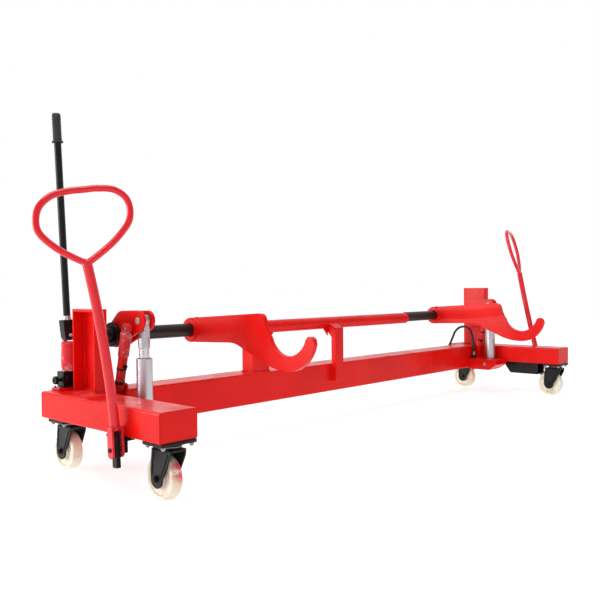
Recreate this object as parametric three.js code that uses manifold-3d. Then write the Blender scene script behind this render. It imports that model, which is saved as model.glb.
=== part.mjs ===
// Hydraulic beam-lifting trolley: two cross boxes on swivel casters, joined by a long rear beam.
// A cross shaft turns in two columns and carries two hook arms; hydraulic rams lift it by levers.
// Millimetres, +Z up, +X along the beam, hooks reach towards -Y.
// The origin is on the floor, under the middle of the whole trolley.
import * as THREE from "three";
import { mergeVertices } from "three/addons/utils/BufferGeometryUtils.js";
import Module from "manifold-3d";

const wasm = await Module();
wasm.setup();

// ---- driving dimensions -------------------------------------------------------------------
const GAP = 0.3; // between pieces that touch
const RUNNING = 0.6; // round a shaft or pin that turns in its bore
const HALF_LENGTH = 1550; // centre to the outer face of an end box

const BOX = { width: 150, height: 100, depth: 750, rear: 430, corner: 10 };
const WHEEL = { radius: 75, width: 44, trail: 31 };
const CASTER = { height: 200, inset: 75, frontY: -270, rearY: 335, plate: 10, plateX: 140, plateY: 110 };
const DECK = CASTER.height + BOX.height; // top face of the end boxes

const BEAM = { front: 215, rear: 355, bottom: 160, corner: 8 };
const COLUMN = { inset: 88, width: 54, front: 195, rear: 350, wall: 8, leftTop: 610, rightTop: 675 };

const SHAFT = { y: 260, z: 510, radius: 27.5, necked: 19, endInset: 143 };
const BEARING = { radius: 46, length: 14 };
const COLLAR = { inset: 196, length: 17.4, radius: 47 };
const LEVER = { inset: 214, width: 52, cheek: 12, hub: 50, pinY: 102, pinZ: 566, end: 37 };
const LEVER_CROWN = { y: 208, z: 543, radius: 59 };

const RAM = { inset: 240, footZ: 190, barrelRadius: 30, barrelTop: 426, rodRadius: 19, pinRadius: 10 };
const BRACKET = { inset: 150, width: 140, front: 20, bottom: 154, seat: 220, nose: 70, noseZ: 188 };
const POCKET = { width: 68, front: 60, rear: 145, floor: 158 };

const STRUT = { inset: 194, footY: 200, footZ: 314, topY: 145, topZ: 538, radius: 18, pinRadius: 8 };

const ARM = { leftX: -960, rightX: 930, plate: 20, hubRadius: 51, hubOuter: 4, hubInner: 28 };
const MOUTH = { y: -568, z: 18, radius: 98, outerZ: 0, outerRadius: 136 };

const SLEEVE = { from: -640, to: 610, bore: 19.6, radius: 30, drop: 6 };
const CENTRE_LEG = { x: -76, width: 62, front: 185, rear: 245, bottom: 212 };
const SIDE_LEG = { x: -583, width: 106, front: 232, rear: 303 };

const PUMP = { x: -1455, y: 395, socketZ: 510 };
const PUMP_LEVER = { radius: 13.2, bottom: 540, top: 1352, lean: 36, grip: 108 };

const TOW = { outset: 30, y: -125, pinZ: 165, pinRadius: 7, cheekGap: 29, cheek: 8 };
const HANDLE = { stemRadius: 16, ringRadius: 11, ringHalf: 146 };

// The two handles were bent by hand and differ. Lean is backwards, twist and roll turn the
// loop, loopLean tips it outwards, all in degrees. The stem bows outwards up to its ring.
const HANDLE_SET = {
  left: { lean: 3, twist: -20, roll: 8, loopLean: -8, ringZ: 600, ringHeight: 240, bow: 76 },
  right: { lean: 16, twist: 17, roll: 0, loopLean: 2, ringZ: 622, ringHeight: 296, bow: 66.8 },
};

const HOSE_RADIUS = 7;

// The lifting gear at the right end stands this much further out than at the left.
const RIGHT_SHIFT = 30;

// ---- finishes -----------------------------------------------------------------------------
const FINISHES = {
  red: { color: 0xd01212, roughness: 0.3, metalness: 0.1 },
  black: { color: 0x14140f, roughness: 0.5, metalness: 0.2 },
  shaft: { color: 0x2a2b2a, roughness: 0.4, metalness: 0.6 },
  steel: { color: 0xc4c4c8, roughness: 0.22, metalness: 0.95 },
  nylon: { color: 0xe9e6cc, roughness: 0.55, metalness: 0 },
  rubber: { color: 0x202226, roughness: 0.75, metalness: 0 },
};

const trolley = new THREE.Group();

function piece(name, geometry, finish, parent = trolley) {
  const mesh = new THREE.Mesh(geometry, new THREE.MeshStandardMaterial(FINISHES[finish]));
  mesh.name = name;
  parent.add(mesh);
  return mesh;
}

// ---- geometry helpers ---------------------------------------------------------------------
const ALONG_X = new THREE.Matrix4().makeBasis(
  new THREE.Vector3(0, 1, 0),
  new THREE.Vector3(0, 0, 1),
  new THREE.Vector3(1, 0, 0),
);
const ALONG_Y = new THREE.Matrix4().makeBasis(
  new THREE.Vector3(0, 0, 1),
  new THREE.Vector3(1, 0, 0),
  new THREE.Vector3(0, 1, 0),
);
const ALONG_Z = new THREE.Matrix4();

// A shape pushed from one station to another along an axis. The shape's own axes are
// (Y, Z) for a push along X, (Z, X) along Y, and (X, Y) along Z.
function prism(shape, from, to, basis, curveSegments = 9) {
  const options = { depth: to - from, bevelEnabled: false, curveSegments };
  const geometry = new THREE.ExtrudeGeometry(shape, options);
  geometry.translate(0, 0, from);
  return geometry.applyMatrix4(basis);
}

function rectangle(u0, u1, v0, v1, corner = 0) {
  const shape = new THREE.Shape();
  shape.moveTo(u0 + corner, v0);
  shape.lineTo(u1 - corner, v0);
  if (corner) shape.absarc(u1 - corner, v0 + corner, corner, -Math.PI / 2, 0);
  shape.lineTo(u1, v1 - corner);
  if (corner) shape.absarc(u1 - corner, v1 - corner, corner, 0, Math.PI / 2);
  shape.lineTo(u0 + corner, v1);
  if (corner) shape.absarc(u0 + corner, v1 - corner, corner, Math.PI / 2, Math.PI);
  shape.lineTo(u0, v0 + corner);
  if (corner) shape.absarc(u0 + corner, v0 + corner, corner, Math.PI, Math.PI * 1.5);
  return shape;
}

function disc(u, v, radius, bore = 0) {
  const shape = new THREE.Shape();
  shape.absarc(u, v, radius, 0, Math.PI * 2);
  if (bore) shape.holes.push(new THREE.Path().absarc(u, v, bore, 0, Math.PI * 2, true));
  return shape;
}

function polygon(points) {
  return new THREE.Shape(points.map(([u, v]) => new THREE.Vector2(u, v)));
}

const block = (x0, x1, y0, y1, z0, z1) => prism(rectangle(x0, x1, y0, y1), z0, z1, ALONG_Z);
const roundX = (y, z, radius, x0, x1, bore = 0) => prism(disc(y, z, radius, bore), x0, x1, ALONG_X);
const roundZ = (x, y, radius, z0, z1, bore = 0) => prism(disc(x, y, radius, bore), z0, z1, ALONG_Z);

// A round bar or tube along a curve.
function barAlong(points, radius, steps, sides = 8) {
  const curve = new THREE.CatmullRomCurve3(points.map((p) => new THREE.Vector3(...p)));
  const options = { steps, extrudePath: curve, curveSegments: sides / 2, bevelEnabled: false };
  return new THREE.ExtrudeGeometry(disc(0, 0, radius), options);
}

// A turned piece about an axis parallel to Z, from a closed profile of [radius, z] pairs.
function turned(profile, segments = 20) {
  const points = profile.map(([r, z]) => new THREE.Vector2(r, z));
  return new THREE.LatheGeometry(points, segments).rotateX(Math.PI / 2);
}

function solid(geometry) {
  const bare = geometry.clone();
  bare.deleteAttribute("normal");
  bare.deleteAttribute("uv");
  const merged = mergeVertices(bare, 1e-4);
  const mesh = new wasm.Mesh({
    numProp: 3,
    vertProperties: new Float32Array(merged.attributes.position.array),
    triVerts: new Uint32Array(merged.index.array),
  });
  return new wasm.Manifold(mesh);
}

function surface(manifold) {
  const mesh = manifold.getMesh();
  const geometry = new THREE.BufferGeometry();
  geometry.setAttribute("position", new THREE.BufferAttribute(mesh.vertProperties, 3));
  geometry.setIndex(new THREE.BufferAttribute(mesh.triVerts, 1));
  geometry.computeVertexNormals();
  return geometry;
}

// First geometry with the others welded on and the cuts taken away.
function weld(base, additions, cuts = []) {
  let result = solid(base);
  for (const addition of additions) result = result.add(solid(addition));
  for (const cut of cuts) result = result.subtract(solid(cut));
  return surface(result);
}

// Span between two distances from an end box's outer face, on the left (-1) or right (+1).
function span(side, insetFrom, insetTo) {
  const a = side * (HALF_LENGTH - insetFrom);
  const b = side * (HALF_LENGTH - insetTo);
  return [Math.min(a, b), Math.max(a, b)];
}

// The same for the columns and lifting gear, which stand further out at the right end.
function gearSpan(side, insetFrom, insetTo) {
  const shift = side > 0 ? RIGHT_SHIFT : 0;
  return span(side, insetFrom - shift, insetTo - shift);
}

function gearX(side, inset) {
  return gearSpan(side, inset, inset)[0];
}

const SIDES = [
  { side: -1, word: "left" },
  { side: 1, word: "right" },
];

// ---- frame --------------------------------------------------------------------------------
function endBox(side) {
  const [x0, x1] = span(side, 0, BOX.width);
  const section = rectangle(CASTER.height, DECK, x0, x1, BOX.corner);
  return prism(section, BOX.rear - BOX.depth, BOX.rear, ALONG_Y, 5);
}

function mainBeam() {
  const half = HALF_LENGTH - BOX.width - GAP;
  const section = rectangle(BEAM.front, BEAM.rear, BEAM.bottom, DECK, BEAM.corner);
  return prism(section, -half, half, ALONG_X, 5);
}

// Channel standing on the end box, its web towards the middle and its open side outwards.
function column(side, top) {
  const [x0, x1] = gearSpan(side, COLUMN.inset, COLUMN.inset + COLUMN.width);
  const hollow = gearSpan(side, COLUMN.inset - 1, COLUMN.inset + COLUMN.width - COLUMN.wall);
  const body = block(x0, x1, COLUMN.front, COLUMN.rear, DECK + GAP, top);
  const inside = block(
    ...hollow,
    COLUMN.front + COLUMN.wall,
    COLUMN.rear - COLUMN.wall,
    DECK - 1,
    top + 1,
  );
  return weld(body, [], [inside]);
}

// Bracket in the corner of box and beam: a pocket for the ram's foot, and the strut's foot lug.
function seatBracket(side) {
  const [x0, x1] = span(side, BRACKET.inset + GAP, BRACKET.inset + BRACKET.width);
  const back = BEAM.front - GAP;
  const profile = polygon([
    [back, BRACKET.bottom],
    [back, BRACKET.seat],
    [BRACKET.front, BRACKET.seat],
    [BRACKET.front, BRACKET.noseZ],
    [BRACKET.nose, BRACKET.bottom],
  ]);
  const pocketX = gearSpan(side, RAM.inset - POCKET.width / 2, RAM.inset + POCKET.width / 2);
  const pocket = block(...pocketX, POCKET.front, POCKET.rear, POCKET.floor, BRACKET.seat + 1);
  const pinHole = roundX(LEVER.pinY, RAM.footZ, RAM.pinRadius + GAP, x0 - 1, x1 + 1);
  const lugX = gearSpan(side, STRUT.inset + 19, STRUT.inset + 30);
  const lugSides = rectangle(STRUT.footY - 16, STRUT.footY + 14, BRACKET.seat - 5, STRUT.footZ);
  const lug = prism(lugSides, ...lugX, ALONG_X);
  const lugTop = roundX(STRUT.footY - 1, STRUT.footZ, 15, ...lugX);
  const pinX = gearSpan(side, STRUT.inset - 12, STRUT.inset + 33);
  const footPin = roundX(STRUT.footY, STRUT.footZ, STRUT.pinRadius, ...pinX);
  return weld(prism(profile, x0, x1, ALONG_X), [lug, lugTop, footPin], [pocket, pinHole]);
}

function bearingFlange(side) {
  const start = COLUMN.inset + COLUMN.width + GAP;
  const xs = gearSpan(side, start, start + BEARING.length);
  return roundX(SHAFT.y, SHAFT.z, BEARING.radius, ...xs, SHAFT.radius + RUNNING);
}

// Fixed tube that steadies the necked shaft, on a leg at the middle and one near its left end.
function centreSleeve() {
  const tubeZ = SHAFT.z - SLEEVE.drop;
  const tube = roundX(SHAFT.y, tubeZ, SLEEVE.radius, SLEEVE.from, SLEEVE.to);
  const bore = roundX(SHAFT.y, SHAFT.z, SLEEVE.bore, SLEEVE.from - 20, SLEEVE.to + 20);
  const halfCentre = CENTRE_LEG.width / 2;
  const centreProfile = polygon([
    [CENTRE_LEG.front, CENTRE_LEG.bottom],
    [BEAM.front - GAP, CENTRE_LEG.bottom],
    [BEAM.front - GAP, tubeZ - 70],
    [CENTRE_LEG.rear, tubeZ - 38],
    [CENTRE_LEG.rear, tubeZ],
    [SHAFT.y - SLEEVE.radius + 1, tubeZ],
    [CENTRE_LEG.front, tubeZ - 24],
  ]);
  const centreX = [CENTRE_LEG.x - halfCentre, CENTRE_LEG.x + halfCentre];
  const centreLeg = prism(centreProfile, ...centreX, ALONG_X);
  const halfSide = SIDE_LEG.width / 2;
  const sideX = [SIDE_LEG.x - halfSide, SIDE_LEG.x + halfSide];
  const sideLeg = block(...sideX, SIDE_LEG.front, SIDE_LEG.rear, DECK + GAP, tubeZ);
  const gusset = (x, reach, y) => {
    const top = tubeZ - 18;
    const corner = polygon([
      [x, top],
      [x + reach, top],
      [x, top - Math.abs(reach) * 1.2],
    ]);
    const slab = new THREE.ExtrudeGeometry(corner, { depth: 8, bevelEnabled: false });
    slab.rotateX(Math.PI / 2);
    return slab.translate(0, y, 0);
  };
  const gussets = [
    gusset(centreX[0] + 2, -38, 245),
    gusset(centreX[1] - 2, 38, 245),
    gusset(sideX[1] - 2, 70, 268),
  ];
  return weld(tube, [centreLeg, sideLeg, ...gussets], [bore]);
}

// ---- lifting gear -------------------------------------------------------------------------
// Outline round three circles, each given as [u, v, radius], in counter-clockwise order.
function aroundCircles(circles) {
  const shape = new THREE.Shape();
  const tangent = ([u0, v0, r0], [u1, v1, r1]) => {
    const heading = Math.atan2(v1 - v0, u1 - u0);
    return heading - Math.acos((r0 - r1) / Math.hypot(u1 - u0, v1 - v0));
  };
  circles.forEach((circle, i) => {
    const before = circles[(i + circles.length - 1) % circles.length];
    const after = circles[(i + 1) % circles.length];
    const start = tangent(before, circle);
    let end = tangent(circle, after);
    while (end < start) end += Math.PI * 2;
    shape.absarc(circle[0], circle[1], circle[2], start, end);
  });
  return shape;
}

// Thick at both ends, necked where it turns in the centre sleeve.
function crossShaft() {
  const left = gearX(-1, SHAFT.endInset);
  const right = gearX(1, SHAFT.endInset);
  const neck = roundX(SHAFT.y, SHAFT.z, SHAFT.necked, SLEEVE.from - 3, SLEEVE.to + 3);
  const leftEnd = roundX(SHAFT.y, SHAFT.z, SHAFT.radius, left, SLEEVE.from - 1);
  const rightEnd = roundX(SHAFT.y, SHAFT.z, SHAFT.radius, SLEEVE.to + 1, right);
  return weld(neck, [leftEnd, rightEnd]);
}

function liftLever(side) {
  const outline = aroundCircles([
    [SHAFT.y, SHAFT.z, LEVER.hub],
    [LEVER_CROWN.y, LEVER_CROWN.z, LEVER_CROWN.radius],
    [LEVER.pinY, LEVER.pinZ, LEVER.end],
  ]);
  const [x0, x1] = gearSpan(side, LEVER.inset, LEVER.inset + LEVER.width);
  const slotX = [x0 + LEVER.cheek, x1 - LEVER.cheek];
  const slot = block(...slotX, 0, SHAFT.y - LEVER.hub - 6, SHAFT.z - 100, SHAFT.z + 150);
  const bore = roundX(SHAFT.y, SHAFT.z, SHAFT.radius + GAP, x0 - 1, x1 + 1);
  const pinHole = roundX(LEVER.pinY, LEVER.pinZ, RAM.pinRadius + GAP, x0 - 1, x1 + 1);
  const stubX = gearSpan(side, STRUT.inset - 15, LEVER.inset + 2);
  const strutPin = roundX(STRUT.topY, STRUT.topZ, STRUT.pinRadius, ...stubX);
  return weld(prism(outline, x0, x1, ALONG_X), [strutPin], [slot, bore, pinHole]);
}

// Side view of a hook arm about the shaft's axis, as (Y, Z).
function hookOutline() {
  const shape = new THREE.Shape();
  const innerEnd = (-156 * Math.PI) / 180;
  const innerStart = (-20 * Math.PI) / 180;
  const tip = { y: -678, z: -24, radius: 20.5 };
  shape.moveTo(0, -ARM.hubRadius);
  shape.absarc(0, 0, ARM.hubRadius, -Math.PI / 2, Math.PI / 2);
  shape.lineTo(-412, 76);
  shape.quadraticCurveTo(-440, 77, -446, 52);
  shape.quadraticCurveTo(-452, 18, -476, -15);
  shape.absarc(MOUTH.y, MOUTH.z, MOUTH.radius, innerStart, innerEnd, true);
  shape.absarc(tip.y, tip.z, tip.radius, 0.15, Math.PI, false);
  shape.absarc(MOUTH.y, MOUTH.outerZ, MOUTH.outerRadius, Math.PI * 1.07, Math.PI * 1.49, false);
  shape.quadraticCurveTo(-510, -137, -455, -117);
  shape.lineTo(-305, -54);
  shape.quadraticCurveTo(-280, -43, -245, -43);
  return shape;
}

function hookArm(x) {
  const half = ARM.plate / 2;
  const plate = prism(hookOutline(), x - half, x + half, ALONG_X, 10);
  plate.translate(0, SHAFT.y, SHAFT.z);
  const hubX = [x - half - ARM.hubOuter, x + half + ARM.hubInner];
  const hub = roundX(SHAFT.y, SHAFT.z, ARM.hubRadius, ...hubX);
  const bore = roundX(SHAFT.y, SHAFT.z, SHAFT.radius + GAP, x - 100, x + 100);
  return weld(plate, [hub], [bore]);
}

// ---- rams and struts ----------------------------------------------------------------------
function ramBarrel(side) {
  const x = gearX(side, RAM.inset);
  const top = RAM.barrelTop;
  const tube = turned([
    [0, RAM.footZ - 22],
    [RAM.barrelRadius, RAM.footZ - 22],
    [RAM.barrelRadius, top - 5],
    [RAM.barrelRadius - 5, top],
    [RAM.rodRadius + GAP, top],
    [RAM.rodRadius + GAP, RAM.footZ + 40],
    [0, RAM.footZ + 40],
  ]).translate(x, LEVER.pinY, 0);
  const pinHole = roundX(LEVER.pinY, RAM.footZ, RAM.pinRadius + GAP, x - 60, x + 60);
  return weld(tube, [], [pinHole]);
}

function ramRod(side) {
  const x = gearX(side, RAM.inset);
  const collarFoot = 464;
  const collarTop = 502;
  const rod = turned([
    [0, RAM.footZ + 90],
    [RAM.rodRadius, RAM.footZ + 90],
    [RAM.rodRadius, collarFoot],
    [RAM.rodRadius + 3, collarFoot],
    [RAM.rodRadius + 3, collarTop],
    [0, collarTop],
  ]).translate(x, LEVER.pinY, 0);
  const eyeX = [x - 12, x + 12];
  const neck = block(...eyeX, LEVER.pinY - 19, LEVER.pinY + 19, collarTop - 5, LEVER.pinZ);
  const eye = roundX(LEVER.pinY, LEVER.pinZ, 23, ...eyeX);
  const clearance = roundX(LEVER.pinY, LEVER.pinZ, RAM.pinRadius + 4, x - 20, x + 20);
  return weld(rod, [neck, eye], [clearance]);
}

const strutTilt = Math.atan2(STRUT.footY - STRUT.topY, STRUT.topZ - STRUT.footZ);
const strutLength = Math.hypot(STRUT.footY - STRUT.topY, STRUT.topZ - STRUT.footZ);

// The strut is built upright with its foot pin at zero, then tilted into place.
function tilted(geometry, side) {
  geometry.rotateX(strutTilt);
  return geometry.translate(gearX(side, STRUT.inset), STRUT.footY, STRUT.footZ);
}

function strutBarrel(side) {
  const top = 158;
  const tube = turned([
    [0, 14],
    [STRUT.radius, 14],
    [STRUT.radius, top - 3],
    [STRUT.radius - 3, top],
    [12 + GAP, top],
    [12 + GAP, 40],
    [0, 40],
  ], 20);
  const eye = roundX(0, 0, 15, -11, 11);
  const neck = block(-11, 11, -13, 13, 0, 20);
  const hole = roundX(0, 0, STRUT.pinRadius + 0.6, -20, 20);
  return tilted(weld(tube, [eye, neck], [hole]), side);
}

function strutRod(side) {
  const rod = roundZ(0, 0, 12, 70, strutLength - 10);
  const eye = roundX(0, strutLength, 19, -11, 11);
  const hole = roundX(0, strutLength, STRUT.pinRadius + 3, -20, 20);
  return tilted(weld(rod, [eye], [hole]), side);
}

// ---- casters ------------------------------------------------------------------------------
// Everything about the swivel axis, which is local Z; the wheel trails towards +Y.
function casterPlate() {
  const { plateX, plateY } = CASTER;
  const top = CASTER.height - GAP;
  const outline = rectangle(-plateX / 2, plateX / 2, -plateY / 2, plateY / 2, 8);
  const race = roundZ(0, 0, 32, top - CASTER.plate - 7, top - CASTER.plate + 1);
  return weld(prism(outline, top - CASTER.plate, top, ALONG_Z, 4), [race]);
}

function casterFork() {
  const cheek = new THREE.Shape();
  const axleY = WHEEL.trail;
  const axleZ = WHEEL.radius;
  cheek.moveTo(-44, 172);
  cheek.lineTo(-42, 158);
  cheek.lineTo(axleY - 22, axleZ);
  cheek.absarc(axleY, axleZ, 22, Math.PI, Math.PI * 2);
  cheek.lineTo(54, 158);
  cheek.lineTo(54, 172);
  const inner = WHEEL.width / 2 + 4;
  const cheekThick = 7;
  const left = prism(cheek, -inner - cheekThick, -inner, ALONG_X);
  const right = prism(cheek, inner, inner + cheekThick, ALONG_X);
  const crown = block(-inner - cheekThick, inner + cheekThick, -44, 54, 166, 174);
  const raceBottom = roundZ(0, 0, 36, 173, 182.1);
  const hole = roundX(axleY, axleZ, 6 + GAP, -60, 60);
  return weld(crown, [left, right, raceBottom], [hole]);
}

function casterWheel() {
  const half = WHEEL.width / 2;
  const r = WHEEL.radius;
  const profile = [
    [6 + GAP, -half - 2],
    [22, -half - 2],
    [24, -half + 6],
    [r - 18, -half + 6],
    [r - 16, -half],
    [r - 7, -half],
    [r, -half + 9],
    [r, half - 9],
    [r - 7, half],
    [r - 16, half],
    [r - 18, half - 6],
    [24, half - 6],
    [22, half + 2],
    [6 + GAP, half + 2],
    [6 + GAP, -half - 2],
  ];
  const wheel = turned(profile, 28).rotateY(Math.PI / 2);
  return wheel.translate(0, WHEEL.trail, WHEEL.radius);
}

function casterAxle() {
  const reach = WHEEL.width / 2 + 11;
  const bolt = roundX(WHEEL.trail, WHEEL.radius, 6, -reach - 12, reach + 12);
  const hex = (radius) => {
    const corners = [...Array(6).keys()].map((i) => {
      const turn = (i * Math.PI) / 3;
      return [WHEEL.trail + radius * Math.cos(turn), WHEEL.radius + radius * Math.sin(turn)];
    });
    return polygon(corners);
  };
  const head = prism(hex(11), -reach - 9, -reach - GAP, ALONG_X);
  const nut = prism(hex(11), reach + GAP, reach + 10, ALONG_X);
  return weld(bolt, [head, nut]);
}

function caster(word, x, y) {
  const group = new THREE.Group();
  group.position.set(x, y, 0);
  trolley.add(group);
  piece(`${word}_caster_plate`, casterPlate(), "black", group);
  piece(`${word}_caster_fork`, casterFork(), "black", group);
  piece(`${word}_caster_wheel`, casterWheel(), "nylon", group);
  piece(`${word}_caster_axle`, casterAxle(), "steel", group);
}

// ---- tow handles --------------------------------------------------------------------------
// Lug under the box's outer edge, with the fork pin standing out of it.
function towLug(side) {
  const foot = block(...span(side, -4, 30), TOW.y - 20, TOW.y + 100, 190, CASTER.height - GAP);
  const drop = block(...span(side, -4, 6), TOW.y - 13, TOW.y + 13, TOW.pinZ - 14, 191);
  const reach = TOW.cheekGap / 2 + TOW.cheek + 5;
  const pin = roundX(TOW.y, TOW.pinZ, TOW.pinRadius, ...span(side, 0, -TOW.outset - reach));
  return weld(foot, [drop, pin]);
}

// Half of the hand loop, from the stem's top to the middle of the crossbar, as fractions
// of the loop's half width and height.
const LOOP_HALF = [
  [0, 0],
  [0.16, 0.06],
  [0.58, 0.24],
  [0.92, 0.46],
  [1.0, 0.64],
  [0.92, 0.83],
  [0.66, 0.96],
  [0.3, 1.0],
  [0, 1.0],
];

// Bent stem with a fork at its foot and a closed hand loop across it, about the fork pin.
function towHandle(side, { lean, twist, roll, loopLean, ringZ, ringHeight, bow }) {
  const { stemRadius, ringRadius, ringHalf } = HANDLE;
  const radians = THREE.MathUtils.degToRad;
  const out = (height) => {
    const bend = Math.max(0, height - 60) / (ringZ - 60);
    return side * bow * bend * (0.45 + 0.55 * bend);
  };
  const stemPoints = [62, 160, 270, 380, 490, ringZ].map((z) => [out(z), 0, z]);
  const stem = barAlong(stemPoints, stemRadius, 8, 10);
  const ringTilt = new THREE.Euler(0, radians(-roll), radians(twist), "ZYX");
  const tip = side * Math.tan(radians(loopLean));
  const loopPoint = ([across, up]) => {
    const point = new THREE.Vector3(across * ringHalf, 0, up * ringHeight).applyEuler(ringTilt);
    return [point.x + out(ringZ) + tip * point.z, point.y, point.z + ringZ];
  };
  const rightHalf = barAlong(LOOP_HALF.map(loopPoint), ringRadius, 14);
  const leftHalf = barAlong(LOOP_HALF.map(([u, v]) => loopPoint([-u, v])), ringRadius, 14);
  const middle = new THREE.SphereGeometry(ringRadius, 8, 6).translate(...loopPoint([0, 1]));
  const root = new THREE.SphereGeometry(stemRadius + 1, 10, 7).translate(...loopPoint([0, 0]));
  const inner = TOW.cheekGap / 2;
  const cheekShape = aroundCircles([
    [0, 60, 15],
    [0, -12, 16],
  ]);
  const cheeks = [-1, 1].map((s) => {
    const ends = [s * inner, s * (inner + TOW.cheek)].sort((a, b) => a - b);
    return prism(cheekShape, ...ends, ALONG_X);
  });
  const tongue = block(-8, 8, -13, 13, -59, 60);
  const bridge = block(-inner - TOW.cheek, inner + TOW.cheek, -15, 15, 56, 74);
  const hole = roundX(0, 0, TOW.pinRadius + 0.5, -60, 60);
  const parts = [stem, rightHalf, leftHalf, middle, root, tongue, ...cheeks];
  const handle = weld(bridge, parts, [hole]);
  handle.rotateX(radians(-lean));
  return handle.translate(side * (HALF_LENGTH + TOW.outset), TOW.y, TOW.pinZ);
}

// ---- hand pump ----------------------------------------------------------------------------
function handPump() {
  const { x, y } = PUMP;
  const top = DECK + GAP;
  piece("pump_base_plate", block(x - 55, x + 45, y - 25, y + 30, top, top + 10), "red");
  const blockTop = 372;
  const valve = block(x - 34, x + 30, y - 22, y + 26, top + 10 + GAP, blockTop);
  piece("pump_valve_block", valve, "black");
  const bore = 11;
  const body = turned([
    [0, blockTop + GAP],
    [24, blockTop + GAP],
    [24, 380],
    [27, 392],
    [27, 478],
    [22, 485],
    [bore + GAP, 485],
    [bore + GAP, blockTop + 14],
    [0, blockTop + 14],
  ], 24).translate(x, y, 0);
  const post = block(x - 8, x + 8, y + 20, y + 32, 440, PUMP.socketZ + 12);
  const pivotPin = prism(disc(PUMP.socketZ, x, 6), y - 26, y + 30, ALONG_Y);
  piece("pump_body", weld(body, [post, pivotPin]), "red");
  piece("pump_plunger", roundZ(x, y, bore, 402, 483), "steel");
  piece("pump_release_valve", pumpRelease(x, y), "black");
  leverSet(x, y);
}

// Release screw with a knurled knob, on the outer face of the valve block.
function pumpRelease(x, y) {
  const end = x - 34 - GAP;
  const stem = roundX(y, 340, 6, end - 26, end);
  const knob = roundX(y, 340, 15, end - 26, end - 12);
  return weld(stem, [knob]);
}

// Socket, lever tube and grip lean outwards together about the socket's pivot.
function leverSet(x, y) {
  const angle = Math.atan2(PUMP_LEVER.lean, PUMP_LEVER.top - PUMP.socketZ);
  const lean = (geometry) => {
    geometry.rotateY(-angle);
    return geometry.translate(x, y, PUMP.socketZ);
  };
  const socket = polygon([
    [-21, -8],
    [-14, -20],
    [14, -20],
    [21, -8],
    [26, 58],
    [-26, 58],
  ]);
  const cheekShape = prism(socket, -17, 17, new THREE.Matrix4().makeRotationX(Math.PI / 2));
  const leverFoot = PUMP_LEVER.bottom - PUMP.socketZ;
  const bore = roundZ(0, 0, PUMP_LEVER.radius + GAP, leverFoot - GAP, 80);
  const pinHole = prism(disc(0, 0, 6 + GAP), -60, 60, ALONG_Y);
  piece("pump_lever_socket", lean(weld(cheekShape, [], [bore, pinHole])), "black");
  const length = (PUMP_LEVER.top - PUMP.socketZ) / Math.cos(angle) - 2;
  const tube = roundZ(0, 0, PUMP_LEVER.radius, leverFoot, length);
  piece("pump_lever", lean(tube), "black");
  const inner = PUMP_LEVER.radius + GAP;
  const gripFoot = length - PUMP_LEVER.grip;
  const grip = turned([
    [inner, gripFoot],
    [21, gripFoot],
    [21, gripFoot + 5],
    [16, gripFoot + 8],
    [16.5, length - 4],
    [13, length + 2],
    [0, length + 2],
    [0, length + GAP],
    [inner, length + GAP],
    [inner, gripFoot],
  ], 20);
  piece("pump_lever_grip", lean(grip), "rubber");
}

// ---- hose and guard -----------------------------------------------------------------------
const HOSE_ROUTE = [
  [-1424.5, 412, 338],
  [-1390, 412, 338],
  [-1350, 404, 330],
  [-1300, 380, 300],
  [-1240, 366, 280],
  [-1100, 364, 275],
  [-700, 364, 268],
  [-200, 364, 270],
  [300, 364, 268],
  [800, 364, 270],
  [1080, 364, 272],
  [1190, 364, 276],
  [1264, 364, 292],
  [1308, 363, 338],
  [1336, 355, 386],
  [1352, 328, 414],
  [1352, 285, 417],
  [1340, 246, 396],
  [1318, 216, 350],
  [1304, 200, 300],
  [1300, 198, 262],
  [1300, 198, 240.5],
];

// Folded sheet guard under the right end box, with a slanted rear end.
function rightGuard() {
  const x0 = HALF_LENGTH - 118;
  const x1 = HALF_LENGTH - 32;
  const top = CASTER.height - GAP;
  const profile = polygon([
    [-172, top],
    [-172, 128],
    [10, 128],
    [62, top],
  ]);
  const inside = polygon([
    [-173, top - 5],
    [-173, 133],
    [7, 133],
    [51, top - 5],
  ]);
  return weld(prism(profile, x0, x1, ALONG_X), [], [prism(inside, x0 + 5, x1 - 5, ALONG_X)]);
}

// ---- assembly -----------------------------------------------------------------------------
function assembleSide({ side, word }) {
  piece(`${word}_end_box`, endBox(side), "red");
  piece(`${word}_column`, column(side, side < 0 ? COLUMN.leftTop : COLUMN.rightTop), "red");
  piece(`${word}_seat_bracket`, seatBracket(side), "red");
  piece(`${word}_bearing_flange`, bearingFlange(side), "black");
  const collarX = gearSpan(side, COLLAR.inset, COLLAR.inset + COLLAR.length);
  const collar = roundX(SHAFT.y, SHAFT.z, COLLAR.radius, ...collarX, SHAFT.radius + GAP);
  piece(`${word}_shaft_collar`, collar, "black");
  piece(`${word}_lift_lever`, liftLever(side), "red");
  const leverPinX = gearSpan(side, LEVER.inset - 4, LEVER.inset + LEVER.width + 4);
  piece(`${word}_lever_pin`, roundX(LEVER.pinY, LEVER.pinZ, RAM.pinRadius, ...leverPinX), "steel");
  const footPinX = span(side, BRACKET.inset + 2, BRACKET.inset + BRACKET.width - 1);
  piece(`${word}_ram_foot_pin`, roundX(LEVER.pinY, RAM.footZ, RAM.pinRadius, ...footPinX), "steel");
  piece(`${word}_ram_barrel`, ramBarrel(side), "steel");
  piece(`${word}_ram_rod`, ramRod(side), "steel");
  piece(`${word}_strut_barrel`, strutBarrel(side), "red");
  piece(`${word}_strut_rod`, strutRod(side), "steel");
  piece(`${word}_tow_lug`, towLug(side), "black");
  piece(`${word}_tow_handle`, towHandle(side, HANDLE_SET[word]), "red");
  const casterX = side * (HALF_LENGTH - CASTER.inset);
  caster(`${word}_front`, casterX, CASTER.frontY);
  caster(`${word}_rear`, casterX, CASTER.rearY);
}

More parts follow.
